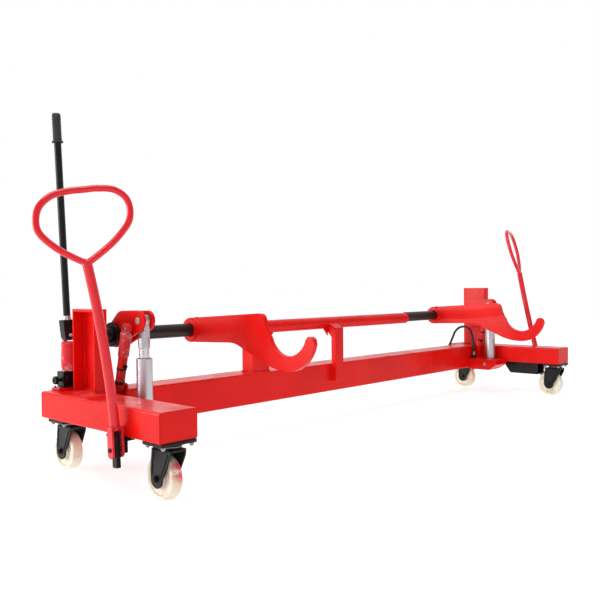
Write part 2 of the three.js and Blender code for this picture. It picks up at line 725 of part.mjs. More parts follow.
SIDES.forEach(assembleSide);
piece("main_beam", mainBeam(), "red");
piece("centre_sleeve", centreSleeve(), "red");
piece("cross_shaft", crossShaft(), "shaft");
piece("left_hook_arm", hookArm(ARM.leftX), "red");
piece("right_hook_arm", hookArm(ARM.rightX), "red");
handPump();
piece("hydraulic_hose", barAlong(HOSE_ROUTE, HOSE_RADIUS, 48, 8), "rubber");
const fitting = roundZ(1300, 198, 10, BRACKET.seat + GAP, BRACKET.seat + 20);
piece("right_hose_fitting", fitting, "black");
piece("right_guard", rightGuard(), "black");

export default trolley;
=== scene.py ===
"""Looks of a hydraulic beam-lifting trolley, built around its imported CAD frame.

Shapes are given in millimetres, in the row frame: +X along the main beam, +Z up, hooks
towards -Y. "Left" is the -X end, which carries the hand pump.
"""

import math

import bmesh
import bpy
from mathutils import Matrix, Vector


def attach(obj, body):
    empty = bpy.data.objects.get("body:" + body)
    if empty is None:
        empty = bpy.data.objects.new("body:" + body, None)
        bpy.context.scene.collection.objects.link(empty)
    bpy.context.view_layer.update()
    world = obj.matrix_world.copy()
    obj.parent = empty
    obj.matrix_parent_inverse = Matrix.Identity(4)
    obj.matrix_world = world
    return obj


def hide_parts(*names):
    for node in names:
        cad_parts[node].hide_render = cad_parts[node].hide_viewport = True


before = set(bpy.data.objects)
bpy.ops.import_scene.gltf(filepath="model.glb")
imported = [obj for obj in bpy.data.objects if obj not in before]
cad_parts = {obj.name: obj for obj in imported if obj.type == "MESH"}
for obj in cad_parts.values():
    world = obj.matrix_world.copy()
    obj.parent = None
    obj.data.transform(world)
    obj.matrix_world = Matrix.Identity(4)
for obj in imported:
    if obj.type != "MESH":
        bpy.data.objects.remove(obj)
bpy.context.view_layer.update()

MM = 0.001
GAP = 0.3
SHARP = math.radians(30)
SMOOTH = math.radians(38)
SIDES = ((-1, "left"), (1, "right"))

# ---- sizes shared with the frame, in millimetres ----
HALF = 1550  # centre to the outer face of an end box
SHIFT = 30  # the gear at the right end stands this much further out
DECK = 300  # top face of the end boxes and the main beam
BOX_WIDTH, BOX_BOTTOM = 150, 200
BOX_FRONT, BOX_REAR = -320, 430
BEAM_FRONT, BEAM_REAR, BEAM_BOTTOM = 215, 355, 160
COLUMN_INSET, COLUMN_DEPTH, COLUMN_WALL = 88, 54, 8
COLUMN_FRONT, COLUMN_REAR = 195, 350
SHAFT_Y, SHAFT_Z = 260, 510
SHAFT_R = 27.5
BEARING_R, COLLAR_R = 46, 47
SLEEVE_R, SLEEVE_DROP = 30, 6  # the sleeve sits this far under the shaft's centre
SLEEVE_ENDS = (-640, 610)
LEVER_PLATE = 12
PIN_R = 10
PIN_Y, PIN_Z = 102, 566
RAM_R, RAM_ROD_R = 30, 19
RAM_FOOT_Z = 190
STRUT_R, STRUT_ROD_R = 18, 12
STRUT_FOOT = (200, 314)
STRUT_TOP = (145, 538)
ARM_X = {"left": -960, "right": 930}
COLUMN_TOP = {"left": 610, "right": 675}
CASTER_Y = {"front": -270, "rear": 335}
WHEEL_R, WHEEL_TRAIL = 75, 31
PUMP_X, PUMP_Y, SOCKET_Z = -1455, 395, 510
LEVER_TOP, LEVER_OUT = 1352, 36  # height of the pump lever's tip, and how far out it leans
RELEASE_Z = 340
TOW_Y, TOW_Z, TOW_OUTSET = -125, 165, 30
STEM_R, LOOP_R, LOOP_REACH = 16, 11, 146
HANDLES = {
    "left": {"lean": 3, "twist": -20, "roll": 8, "tip": -8, "ring_z": 600, "high": 240, "bow": 76},
    "right": {"lean": 16, "twist": 17, "roll": 0, "tip": 2, "ring_z": 622, "high": 296, "bow": 66.8},
}
HOSE_R = 7
HOSE_CLIP_X = (-1100, -500, 0, 500, 1000)
HOSE_ROUTE = (
    (-1424.5, 412, 338), (-1390, 412, 338), (-1350, 404, 330), (-1300, 380, 300),
    (-1240, 366, 280), (-1100, 364, 275), (-700, 364, 268), (-200, 364, 270),
    (300, 364, 268), (800, 364, 270), (1080, 364, 272), (1190, 364, 276),
    (1264, 364, 292), (1308, 363, 338), (1336, 355, 386), (1352, 328, 414),
    (1352, 285, 417), (1340, 246, 396), (1318, 216, 350), (1304, 200, 300),
    (1300, 198, 262), (1300, 198, 240.5),
)


def span(side, inset_from, inset_to):
    """Ordered X range from two distances inside an end box's outer face."""
    return sorted((side * (HALF - inset_from), side * (HALF - inset_to)))


def gear_span(side, inset_from, inset_to):
    """The same for the columns and lifting gear."""
    shift = SHIFT if side > 0 else 0
    return span(side, inset_from - shift, inset_to - shift)


def gear_x(side, inset):
    return gear_span(side, inset, inset)[0]


# ---- materials ----
class Paint:
    """A small builder for one procedural material."""

    def __init__(self, name, **constants):
        self.material = bpy.data.materials.new(name)
        self.material.use_nodes = True
        self.tree = self.material.node_tree
        self.shader = self.tree.nodes["Principled BSDF"]
        for socket, value in constants.items():
            self.shader.inputs[socket.replace("_", " ")].default_value = value
        coordinate = self.tree.nodes.new("ShaderNodeTexCoord")
        self.place = coordinate.outputs["Object"]

    def node(self, kind, inputs=None, **settings):
        made = self.tree.nodes.new(kind)
        for key, value in settings.items():
            setattr(made, key, value)
        for key, value in (inputs or {}).items():
            if isinstance(value, bpy.types.NodeSocket):
                self.tree.links.new(value, made.inputs[key])
            else:
                made.inputs[key].default_value = value
        return made

    def stretched(self, scale):
        mapping = self.node("ShaderNodeMapping", {"Vector": self.place, "Scale": scale})
        return mapping.outputs["Vector"]

    def noise(self, scale, detail=4.0, rough=0.55, vector=None):
        settings = {"Scale": scale, "Detail": detail, "Roughness": rough}
        settings["Vector"] = vector or self.place
        return self.node("ShaderNodeTexNoise", settings).outputs["Fac"]

    def ramp(self, value, low, high, dark=0.0, light=1.0):
        ranged = {"Value": value, "From Min": low, "From Max": high}
        ranged.update({"To Min": dark, "To Max": light})
        return self.node("ShaderNodeMapRange", ranged).outputs["Result"]

    def multiply(self, one, other):
        return self.node("ShaderNodeMath", {0: one, 1: other}, operation="MULTIPLY").outputs[0]

    def mixed(self, factor, low, high):
        mixer = self.node("ShaderNodeMix", data_type="RGBA")
        for index, value in ((0, factor), (6, low), (7, high)):
            if isinstance(value, bpy.types.NodeSocket):
                self.tree.links.new(value, mixer.inputs[index])
            else:
                mixer.inputs[index].default_value = value
        return mixer.outputs[2]

    def upward(self):
        """1 where the surface faces straight up, falling to 0 on its sides."""
        normal = self.node("ShaderNodeNewGeometry").outputs["Normal"]
        split = self.node("ShaderNodeSeparateXYZ", {"Vector": normal})
        return self.ramp(split.outputs["Z"], 0.4, 1.0)

    def colour(self, socket):
        self.tree.links.new(socket, self.shader.inputs["Base Color"])

    def roughness(self, socket):
        self.tree.links.new(socket, self.shader.inputs["Roughness"])

    def bump(self, heights, distance=0.0006):
        """Adds one bump node after another, from (height, strength) pairs."""
        normal = None
        for height, strength in heights:
            inputs = {"Height": height, "Strength": strength, "Distance": distance}
            if normal:
                inputs["Normal"] = normal
            normal = self.node("ShaderNodeBump", inputs).outputs["Normal"]
        self.tree.links.new(normal, self.shader.inputs["Normal"])


def enamel(name, bright, deep, grime=0.25, chips=0.0, under=(0.075, 0.055, 0.04, 1),
           gloss=0.09):
    """Gloss enamel: orange peel, a painted pale sheen on top faces, grime, and chips that show what
    is under.
    """
    paint = Paint(name, Metallic=0.0, Coat_Weight=gloss, Coat_Roughness=0.08, IOR=1.2)
    tone = paint.ramp(paint.noise(3.2, 3.0), 0.3, 0.7)
    base = paint.mixed(tone, deep, bright)
    # painted highlight: faces that point up turn pale pink in patches, standing in for the sheen of
    # light on top faces
    top_sheen_patches = paint.ramp(paint.noise(11.0, 6.0, 0.65), 0.42, 0.75, 0.0, 0.32)
    dust_and_sheen = paint.mixed(paint.multiply(paint.upward(), top_sheen_patches), base, (0.72, 0.34, 0.36, 1))
    patches = paint.ramp(paint.noise(7.0, 8.0, 0.7), 0.56, 0.74, 0.0, grime)
    grimy = paint.mixed(patches, dust_and_sheen, (0.16, 0.015, 0.015, 1))
    if chips:
        spots = paint.ramp(paint.noise(38.0, 6.0, 0.7), 0.6 - chips * 0.12, 0.66 - chips * 0.12)
        broad = paint.ramp(paint.noise(14.0, 3.0), 0.45, 0.6)
        worn = paint.mixed(paint.multiply(spots, broad), grimy, under)
    else:
        spots = paint.ramp(paint.noise(85.0, 5.0, 0.7), 0.64, 0.7, 0.0, 0.5)
        worn = paint.mixed(spots, grimy, (0.3, 0.03, 0.03, 1))
    paint.colour(worn)
    paint.roughness(paint.ramp(paint.noise(9.0, 5.0), 0.3, 0.75, 0.2, 0.42))
    paint.bump([(paint.noise(150.0, 2.0), 0.05), (paint.noise(18.0, 4.0), 0.08)])
    return paint.material


def black_paint(name, grey, shine, dirt=(0.1, 0.085, 0.07, 1)):
    """Satin black with dusty patches, scuffs and a fine cast texture."""
    paint = Paint(name, Metallic=0.0, Coat_Weight=0.08, Coat_Roughness=0.15, IOR=1.28)
    tone = paint.ramp(paint.noise(16.0, 5.0), 0.35, 0.7)
    base = paint.mixed(tone, (grey * 0.5, grey * 0.52, grey * 0.55, 1), (grey, grey, grey, 1))
    film = paint.ramp(paint.noise(26.0, 8.0, 0.7), 0.56, 0.8, 0.0, 0.25)
    dust_and_sheen = paint.mixed(film, base, dirt)
    scuffs = paint.ramp(paint.noise(95.0, 5.0, 0.7), 0.64, 0.7, 0.0, 0.45)
    worn = paint.mixed(scuffs, dust_and_sheen, (0.22, 0.22, 0.22, 1))
    paint.colour(worn)
    paint.roughness(paint.ramp(paint.noise(20.0, 6.0), 0.3, 0.7, shine, shine + 0.3))
    paint.bump([(paint.noise(240.0, 3.0), 0.18), (paint.noise(30.0, 4.0), 0.15)])
    return paint.material


def steel(name, light, rough, grain, stain=0.3, metal=1.0):
    """Bare metal with fine grain along one direction, and faint stains."""
    paint = Paint(name, Metallic=metal)
    streaks = paint.noise(1.0, 4.0, 0.6, paint.stretched(grain))
    shade = (light[0] * 0.72, light[1] * 0.72, light[2] * 0.74, 1)
    base = paint.mixed(paint.ramp(streaks, 0.3, 0.7), shade, (*light, 1))
    stains = paint.ramp(paint.noise(17.0, 7.0, 0.7), 0.55, 0.75, 0.0, stain)
    paint.colour(paint.mixed(stains, base, (light[0] * 0.3, light[1] * 0.26, light[2] * 0.22, 1)))
    paint.roughness(paint.ramp(streaks, 0.25, 0.75, rough, rough + 0.18))
    paint.bump([(streaks, 0.1)], 0.0003)
    return paint.material


def nylon(name, smear=None):
    """Cream cast nylon, rolled in floor dirt, with an optional smear of red paint."""
    paint = Paint(name, Subsurface_Weight=0.12, Subsurface_Scale=0.004, IOR=1.5)
    tone = paint.ramp(paint.noise(14.0, 5.0), 0.3, 0.7)
    base = paint.mixed(tone, (0.82, 0.76, 0.58, 1), (0.97, 0.92, 0.78, 1))
    dirt = paint.ramp(paint.noise(33.0, 9.0, 0.72), 0.5, 0.74, 0.0, 0.5)
    dirty = paint.mixed(dirt, base, (0.33, 0.29, 0.2, 1))
    grit = paint.ramp(paint.noise(110.0, 4.0, 0.7), 0.63, 0.7, 0.0, 0.7)
    gritty = paint.mixed(grit, dirty, (0.12, 0.1, 0.08, 1))
    if smear:
        offset = {0: paint.place, 1: [v * MM for v in smear]}
        away = paint.node("ShaderNodeVectorMath", offset, operation="DISTANCE").outputs["Value"]
        near = paint.ramp(away, 0.046, 0.02)
        ragged = paint.ramp(paint.noise(42.0, 6.0, 0.65), 0.4, 0.5)
        pink = paint.ramp(paint.noise(9.0, 3.0), 0.45, 0.7, 0.0, 0.35)
        tinted = paint.mixed(pink, gritty, (0.85, 0.42, 0.36, 1))
        gritty = paint.mixed(paint.multiply(near, ragged), tinted, (0.8, 0.07, 0.09, 1))
    paint.colour(gritty)
    paint.roughness(paint.ramp(paint.noise(25.0, 5.0), 0.3, 0.7, 0.38, 0.62))
    paint.bump([(paint.noise(90.0, 5.0), 0.16), (paint.noise(22.0, 4.0), 0.14)])
    return paint.material


def rubber(name, grey, scale=160.0):
    """Matt black rubber with a fine grain and grey dust."""
    paint = Paint(name, Specular_IOR_Level=0.35)
    tone = paint.ramp(paint.noise(20.0, 5.0), 0.35, 0.7)
    base = paint.mixed(tone, (grey * 0.6, grey * 0.6, grey * 0.65, 1), (grey, grey, grey * 1.1, 1))
    dust = paint.ramp(paint.noise(45.0, 7.0, 0.7), 0.55, 0.8, 0.0, 0.5)
    paint.colour(paint.mixed(dust, base, (0.13, 0.125, 0.12, 1)))
    paint.roughness(paint.ramp(paint.noise(30.0, 4.0), 0.3, 0.7, 0.5, 0.78))
    paint.bump([(paint.noise(scale, 4.0), 0.25)])
    return paint.material


RED = enamel("red_enamel", (0.8, 0.008, 0.005, 1), (0.66, 0.004, 0.003, 1))
RED_HANDLE = enamel("red_handle_enamel", (0.8, 0.022, 0.035, 1), (0.66, 0.012, 0.02, 1), 0.12,
                    gloss=0.55)
RED_OILY = enamel("red_oily_enamel", (0.8, 0.03, 0.025, 1), (0.6, 0.012, 0.01, 1), 0.4, 0.9)
RED_PATCHY = enamel("red_patchy_enamel", (0.8, 0.05, 0.06, 1), (0.6, 0.02, 0.03, 1), 0.3, 1.3,
                    (0.82, 0.48, 0.5, 1))
WELD = enamel("painted_weld", (0.66, 0.012, 0.012, 1), (0.5, 0.006, 0.006, 1), 0.4)
BLACK = black_paint("black_paint", 0.009, 0.26)
BLACK_OILY = black_paint("oily_black_paint", 0.008, 0.18, (0.05, 0.04, 0.03, 1))
SHAFT_STEEL = steel("dark_oiled_steel", (0.04, 0.037, 0.035), 0.34, (6, 140, 140), 0.6, 0.75)
CHROME = steel("ground_rod", (0.74, 0.74, 0.77), 0.14, (300, 300, 900), 0.18)
BARREL = steel("turned_barrel", (0.66, 0.66, 0.7), 0.3, (260, 260, 1100), 0.25)
ZINC = steel("zinc_fastener", (0.42, 0.41, 0.38), 0.34, (120, 120, 120), 0.5)
NYLON = nylon("cast_nylon")
NYLON_SMEARED = nylon("smeared_nylon", (-1462, -303, 104))
GRIP = rubber("grip_rubber", 0.03, 260.0)
HOSE = rubber("hose_rubber", 0.022)


# ---- shapes ----
def along_x(u, v, w):
    return (w, u, v)


def along_y(u, v, w):
    return (v, w, u)


def along_z(u, v, w):
    return (u, v, w)


def arc(u, v, radius, start, end, steps=16):
    """Points on an arc, angles in degrees."""
    turns = [math.radians(start + (end - start) * i / steps) for i in range(steps + 1)]
    return [(u + radius * math.cos(t), v + radius * math.sin(t)) for t in turns]


def curve_to(start, control, end, steps=8):
    """Points of a quadratic curve after its start."""
    points = []
    for i in range(1, steps + 1):
        t = i / steps
        a, b, c = (1 - t) ** 2, 2 * t * (1 - t), t * t
        points.append(tuple(a * start[k] + b * control[k] + c * end[k] for k in range(len(start))))
    return points


def rounded(points, radius, closed=True, steps=4):
    """A polyline with its corners rounded."""
    out = []
    for i, corner in enumerate(points):
        if not closed and i in (0, len(points) - 1):
            out.append(tuple(corner))
            continue
        here = Vector(corner)
        back = Vector(points[i - 1]) - here
        ahead = Vector(points[(i + 1) % len(points)]) - here
        if math.pi - back.angle(ahead) < math.radians(8):
            out.append(tuple(corner))
            continue
        reach = min(radius, back.length * 0.45, ahead.length * 0.45)
        start = here + back.normalized() * reach
        end = here + ahead.normalized() * reach
        out.append(tuple(start))
        out.extend(curve_to(start, here, end, steps))
    return out


def box_outline(u0, u1, v0, v1, corner=0.0):
    outline = [(u0, v0), (u1, v0), (u1, v1), (u0, v1)]
    return rounded(outline, corner, True, 6) if corner else outline


def hexagon(u, v, radius):
    return arc(u, v, radius, 0, 300, 5)


def around_circles(circles, steps=20):
    """Outline round circles given as (u, v, radius), in counter-clockwise order."""
    def tangent(one, other):
        du, dv = other[0] - one[0], other[1] - one[1]
        return math.atan2(dv, du) - math.acos((one[2] - other[2]) / math.hypot(du, dv))

    outline = []
    for i, circle in enumerate(circles):
        start = tangent(circles[i - 1], circle)
        end = tangent(circle, circles[(i + 1) % len(circles)])
        while end < start:
            end += 2 * math.pi
        outline += arc(*circle, math.degrees(start), math.degrees(end), steps)
    return outline


def clipped(outline, limit):
    """The part of an outline whose first coordinate is at least the limit."""
    kept = []
    for i, (u, v) in enumerate(outline):
        before_u, before_v = outline[i - 1]
        if (u >= limit) != (before_u >= limit):
            share = (limit - before_u) / (u - before_u)
            kept.append((limit, before_v + share * (v - before_v)))
        if u >= limit:
            kept.append((u, v))
    return kept


def smooth_path(points, per=6):
    """Catmull-Rom points through the given ones."""
    path = [Vector(p) for p in points]
    out = []
    for i in range(len(path) - 1):
        p0, p1 = path[max(i - 1, 0)], path[i]
        p2, p3 = path[i + 1], path[min(i + 2, len(path) - 1)]
        for k in range(per):
            t = k / per
            out.append(0.5 * (2 * p1 + (p2 - p0) * t + (2 * p0 - 5 * p1 + 4 * p2 - p3) * t * t
                              + (3 * p1 - p0 - 3 * p2 + p3) * t ** 3))
    return out + [path[-1]]


class Shape:
    """Collects closed shells, in millimetres, and turns them into one piece."""

    def __init__(self):
        self.bm = bmesh.new()

    def add(self, verts, faces, bevel=0.0, steps=3):
        made = [self.bm.verts.new(v) for v in verts]
        new = [self.bm.faces.new([made[i] for i in face]) for face in faces]
        if bevel:
            bmesh.ops.recalc_face_normals(self.bm, faces=new)
            edges = {e for f in new for e in f.edges if e.calc_face_angle(0.0) > SHARP}
            bmesh.ops.bevel(self.bm, geom=list(edges), offset=bevel, segments=steps,
                            profile=0.5, affect="EDGES", clamp_overlap=True)
        return self

    def extruded(self, outline, start, end, basis, bevel=1.0):
        count = len(outline)
        verts = [basis(u, v, start) for u, v in outline]
        verts += [basis(u, v, end) for u, v in outline]
        faces = [tuple(reversed(range(count))), tuple(range(count, 2 * count))]
        faces += [(i, (i + 1) % count, count + (i + 1) % count, count + i) for i in range(count)]
        return self.add(verts, faces, bevel)

    def block(self, x, y, z, bevel=1.0):
        return self.extruded(box_outline(*x, *y), *z, along_z, bevel)

    def turned(self, profile, basis, u=0.0, v=0.0, ease=1.0, segments=48):
        """A turned solid from (radius, station) pairs; a profile off the axis makes a ring."""
        ring_shaped = profile[0][0] > 0
        profile = rounded(profile, ease, ring_shaped, 3)
        verts, rings = [], []
        for radius, station in profile:
            size = segments if radius > 1e-6 else 1
            rings.append(range(len(verts), len(verts) + size))
            for i in range(size):
                turn = 2 * math.pi * i / segments
                verts.append(basis(u + radius * math.cos(turn), v + radius * math.sin(turn), station))
        faces = []
        pairs = list(zip(rings, rings[1:]))
        if ring_shaped:
            pairs.append((rings[-1], rings[0]))
        for one, other in pairs:
            for i in range(segments):
                j = (i + 1) % segments
                quad = [one[i % len(one)], one[j % len(one)]]
                quad += [other[j % len(other)], other[i % len(other)]]
                face = list(dict.fromkeys(quad))
                if len(face) > 2:
                    faces.append(face)
        return self.add(verts, faces)

    def rod(self, radius, start, end, basis, u=0.0, v=0.0, ease=1.0, segments=32):
        profile = [(0, start), (radius, start), (radius, end), (0, end)]
        return self.turned(profile, basis, u, v, ease, segments)

    def ring(self, radius, bore, start, end, basis, u=0.0, v=0.0, ease=1.0, segments=48):
        profile = [(bore, start), (radius, start), (radius, end), (bore, end)]
        return self.turned(profile, basis, u, v, ease, segments)

    def nut(self, radius, start, end, basis, u=0.0, v=0.0):
        """A hexagon with a washer under it and a stub of thread beyond."""
        direction = 1 if end > start else -1
        self.rod(radius * 1.25, *sorted((start, start + direction * 1.6)), basis, u, v, 0.3, 24)
        low, high = sorted((start + direction * 1.6, end))
        return self.extruded(hexagon(u, v, radius), low, high, basis, 0.8)

    def swept(self, path, radius, sides=16, closed=False):
        """A round bar along a path; radius is a number, or a function of the point's index."""
        path = [Vector(p) for p in path]
        count = len(path)
        verts = []
        side_axis = None
        for i, here in enumerate(path):
            before = path[i - 1] if closed or i else here
            after = path[(i + 1) % count] if closed or i < count - 1 else here
            heading = (after - before).normalized()
            if side_axis is None:
                side_axis = heading.orthogonal().normalized()
            side_axis = (side_axis - heading * side_axis.dot(heading)).normalized()
            other_axis = heading.cross(side_axis)
            size = radius(i) if callable(radius) else radius
            for k in range(sides):
                turn = 2 * math.pi * k / sides
                offset = side_axis * math.cos(turn) + other_axis * math.sin(turn)
                verts.append(here + offset * size)
        faces = []
        for i in range(count if closed else count - 1):
            j = (i + 1) % count
            for k in range(sides):
                m = (k + 1) % sides
                faces.append((i * sides + k, i * sides + m, j * sides + m, j * sides + k))
        if not closed:
            faces.append(tuple(reversed(range(sides))))
            faces.append(tuple((count - 1) * sides + k for k in range(sides)))
        return self.add(verts, faces)

    def bead(self, points, radius=3.0, closed=False):
        """A rippled weld bead along straight stretches between points."""
        points = [Vector(p) for p in points]
        ends = points[1:] + (points[:1] if closed else [])
        path = []
        for one, other in zip(points, ends):
            steps = max(1, round((other - one).length / 3.0))
            path += [one.lerp(other, k / steps) for k in range(steps)]
        if not closed:
            path.append(points[-1])
        ripple = (1.0, 1.18, 0.9, 1.1, 0.82, 1.15, 0.95)
        return self.swept(path, lambda i: radius * ripple[i % len(ripple)], 8, closed)

    def moved(self, matrix):
        bmesh.ops.transform(self.bm, matrix=matrix, verts=self.bm.verts[:])
        return self

    def piece(self, name, body, slot, material, *nodes):
        """Ends the shape: makes the object, hangs it on the body it rides on, and hides the CAD nodes
        it stands for.
        """
        bmesh.ops.recalc_face_normals(self.bm, faces=self.bm.faces[:])
        mesh = bpy.data.meshes.new(name)
        self.bm.to_mesh(mesh)
        self.bm.free()
        mesh.transform(Matrix.Scale(MM, 4))
        mesh.shade_smooth()
        mesh.set_sharp_from_angle(angle=SMOOTH)
        mesh.materials.append(material)
        made = bpy.data.objects.new(name, mesh)
        bpy.context.scene.collection.objects.link(made)
        made.modifiers.new("flat_faces", "WEIGHTED_NORMAL").keep_sharp = True
        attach(made, body)
        if nodes:
            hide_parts(*nodes)
        return made


def dressed(node, bevel, body, slot, material):
    """A copy of a flat-sided CAD node with its edges softened."""
    shape = Shape()
    shape.bm.from_mesh(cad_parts[node].data)
    shape.moved(Matrix.Scale(1 / MM, 4))
    bm = shape.bm
    bmesh.ops.remove_doubles(bm, verts=bm.verts[:], dist=0.02)
    bmesh.ops.dissolve_limit(bm, angle_limit=math.radians(0.5), verts=bm.verts[:], edges=bm.edges[:])
    edges = [e for e in bm.edges if e.calc_face_angle(0.0) > SHARP]
    bmesh.ops.bevel(bm, geom=edges, offset=bevel, segments=2, profile=0.5, affect="EDGES",
                    clamp_overlap=True)
    return shape.piece(f"{node}_skin", body, slot, material, node)


# ---- frame ----
def end_box(side, word):
    """Box section with a plate set into each end, and the welds round both."""
    x0, x1 = span(side, 0, BOX_WIDTH)
    wall = Shape()
    section = box_outline(BOX_BOTTOM, DECK, x0, x1, 10)
    wall.extruded(section, BOX_FRONT + 2, BOX_REAR - 2, along_y, 0.6)
    plate = box_outline(BOX_BOTTOM + 2, DECK - 2, x0 + 2, x1 - 2, 8)
    for start in (BOX_FRONT, BOX_REAR - 3):
        wall.extruded(plate, start, start + 3, along_y, 0.8)
    for x in (x0 + 12, x1 - 14):
        wall.turned([(0, -322), (3.6, -321.4), (4.4, -319), (0, -319)], along_y, 246, x, 0.6, 20)
    wall.piece(f"{word}_box_section", "frame", "red_paint", RED, f"{word}_end_box")
    inner = side * (HALF - BOX_WIDTH)
    seams = Shape()
    rim_outline = box_outline(x0 + 1.5, x1 - 1.5, BOX_BOTTOM + 1.5, DECK - 1.5, 8)
    for y in (BOX_FRONT + 2.4, BOX_REAR - 2.4):
        rim = [(u, y, v) for u, v in rim_outline]
        seams.bead(rim, 1.3, True)
    foot, head = BOX_BOTTOM + 4, DECK - 4
    seams.bead([(inner, BEAM_FRONT - 2, z) for z in (foot, head)], 3.2)
    seams.bead([(inner, y, DECK + 0.5) for y in (BEAM_FRONT + 9, BEAM_REAR - 9)], 2.2)
    seams.bead([(inner, BEAM_REAR + 2, z) for z in (foot, head)], 3.2)
    seams.piece(f"{word}_box_welds", "frame", "red_paint", WELD)


def main_beam():
    half = HALF - BOX_WIDTH - GAP
    section = box_outline(BEAM_FRONT, BEAM_REAR, BEAM_BOTTOM, DECK, 8)
    shape = Shape().extruded(section, -half, half, along_x, 0.6)
    shape.piece("main_beam_section", "frame", "red_paint", RED, "main_beam")


def column(side, word):
    """Channel open outwards, with a cap plate in its top and a weld round its foot."""
    front, rear, wall = COLUMN_FRONT, COLUMN_REAR, COLUMN_WALL
    outer = gear_x(side, COLUMN_INSET)
    web = outer - side * COLUMN_DEPTH
    top = COLUMN_TOP[word]
    inside = web + side * wall
    outline = [(outer, front), (web, front), (web, rear), (outer, rear)]
    outline += [(outer, rear - wall), (inside, rear - wall)]
    outline += [(inside, front + wall), (outer, front + wall)]
    shape = Shape().extruded(rounded(outline, 3.5, True, 4), DECK + GAP, top, along_z, 0.6)
    cap = sorted((inside, outer - side * 1))
    shape.block(cap, (front + wall + GAP, rear - wall - GAP), (top - 10, top - 1), 0.8)
    shape.piece(f"{word}_column_channel", "frame", "red_paint", RED, f"{word}_column")
    foot = DECK + 1.5
    seams = Shape()
    seams.bead([(x, front - 1.5, foot) for x in (outer, web)], 3)
    seams.bead([(web - side * 1.5, y, foot) for y in (front, rear)], 3)
    seams.bead([(x, rear + 1.5, foot) for x in (web, outer)], 3)
    seams.bead([(inside + side * 1, y, foot) for y in (front + 11, rear - 11)], 3)
    for y in (front + wall + 2, rear - wall - 2):
        seams.bead([(x, y, foot) for x in (outer, inside)], 2.5)
    seams.piece(f"{word}_column_welds", "frame", "red_paint", WELD)


def bearing(side, word):
    """Black flange round the shaft, with four bolt heads on its inner face."""
    x0, x1 = gear_span(side, 142.3, 156.3)
    shape = Shape().ring(BEARING_R, SHAFT_R + GAP, x0, x1, along_x, SHAFT_Y, SHAFT_Z, 1.5)
    face = x1 if side < 0 else x0
    for turn in range(45, 360, 90):
        u = SHAFT_Y + (BEARING_R - 9) * math.cos(math.radians(turn))
        v = SHAFT_Z + (BEARING_R - 9) * math.sin(math.radians(turn))
        shape.rod(5, *sorted((face - side * 3.5, face + side * 2)), along_x, u, v, 0.8, 20)
    shape.piece(f"{word}_bearing", "frame", "black_paint", BLACK, f"{word}_bearing_flange")


def centre_sleeve():
    """Steadying tube on its two legs, with corner gussets."""
    tube_z = SHAFT_Z - SLEEVE_DROP
    shape = Shape()
    left, right = SLEEVE_ENDS
    bore, weld_r = SLEEVE_R - 7, SLEEVE_R + 0.5
    tube = [(bore, left), (SLEEVE_R, left), (SLEEVE_R, right), (bore, right)]
    shape.turned(tube, along_x, SHAFT_Y, tube_z, 2)
    leg = [(185, 212), (214.7, 212), (214.7, tube_z - 70), (245, tube_z - 38), (245, tube_z)]
    leg += [(231, tube_z), (185, tube_z - 24)]
    shape.extruded(leg, -107, -45, along_x, 2.2)
    shape.block((-636, -530), (232, 303), (DECK + GAP, tube_z - 14), 2)
    for edge, reach, y in ((-105, -38, 237), (-47, 38, 237), (-532, 70, 260)):
        top = tube_z - 18
        corner = [(edge, top), (edge + reach, top), (edge, top - abs(reach) * 1.2)]
        corner = corner if reach > 0 else corner[::-1]
        shape.extruded([(v, u) for u, v in corner], y, y + 8, along_y, 0.8)
    shape.piece("centre_sleeve_tube", "frame", "red_paint", RED, "centre_sleeve")
    seams = Shape()
    rim = [(x, y, DECK + 1.5) for x, y in ((-637, 231), (-529, 231), (-529, 304), (-637, 304))]
    seams.bead(rim, 3, True)
    for x in (-108, -44):
        seams.bead([(x, 213.5, 214), (x, 213.5, 298)], 2.6)
    for x in (-109, -43):
        seams.bead([(x, y, z) for y, z in arc(SHAFT_Y, tube_z, weld_r, 190, 262, 6)], 2.2)
    for x in (-638, -528):
        seams.bead([(x, y, z) for y, z in arc(SHAFT_Y, tube_z, weld_r, 205, 335, 8)], 2.2)
    seams.piece("centre_sleeve_welds", "frame", "red_paint", WELD)


# ---- lifting gear ----
def cross_shaft():
    """One shaft from bearing to bearing, turned down where it runs in the sleeve."""
    left, right = gear_x(-1, 143), gear_x(1, 143)
    sleeve_left, sleeve_right = SLEEVE_ENDS
    neck = 19
    profile = [(0, left), (SHAFT_R, left), (SHAFT_R, sleeve_left - 1), (neck, sleeve_left - 3)]
    profile += [(neck, sleeve_right + 3), (SHAFT_R, sleeve_right + 1), (SHAFT_R, right), (0, right)]
    shape = Shape().turned(profile, along_x, SHAFT_Y, SHAFT_Z, 1.2, 64)
    shape.piece("turning_shaft", "lift", "dark_steel", SHAFT_STEEL, "cross_shaft")


def collar(side, word):
    x0, x1 = gear_span(side, 196, 213.4)
    shape = Shape().ring(COLLAR_R, SHAFT_R + GAP, x0, x1, along_x, SHAFT_Y, SHAFT_Z, 2.5)
    screw_x = (x0 + x1) / 2
    shape.rod(4.5, SHAFT_Z + 44, SHAFT_Z + 48.5, along_z, screw_x, SHAFT_Y, 0.6, 16)
    shape.piece(f"{word}_stop_collar", "lift", "black_paint", BLACK_OILY, f"{word}_shaft_collar")


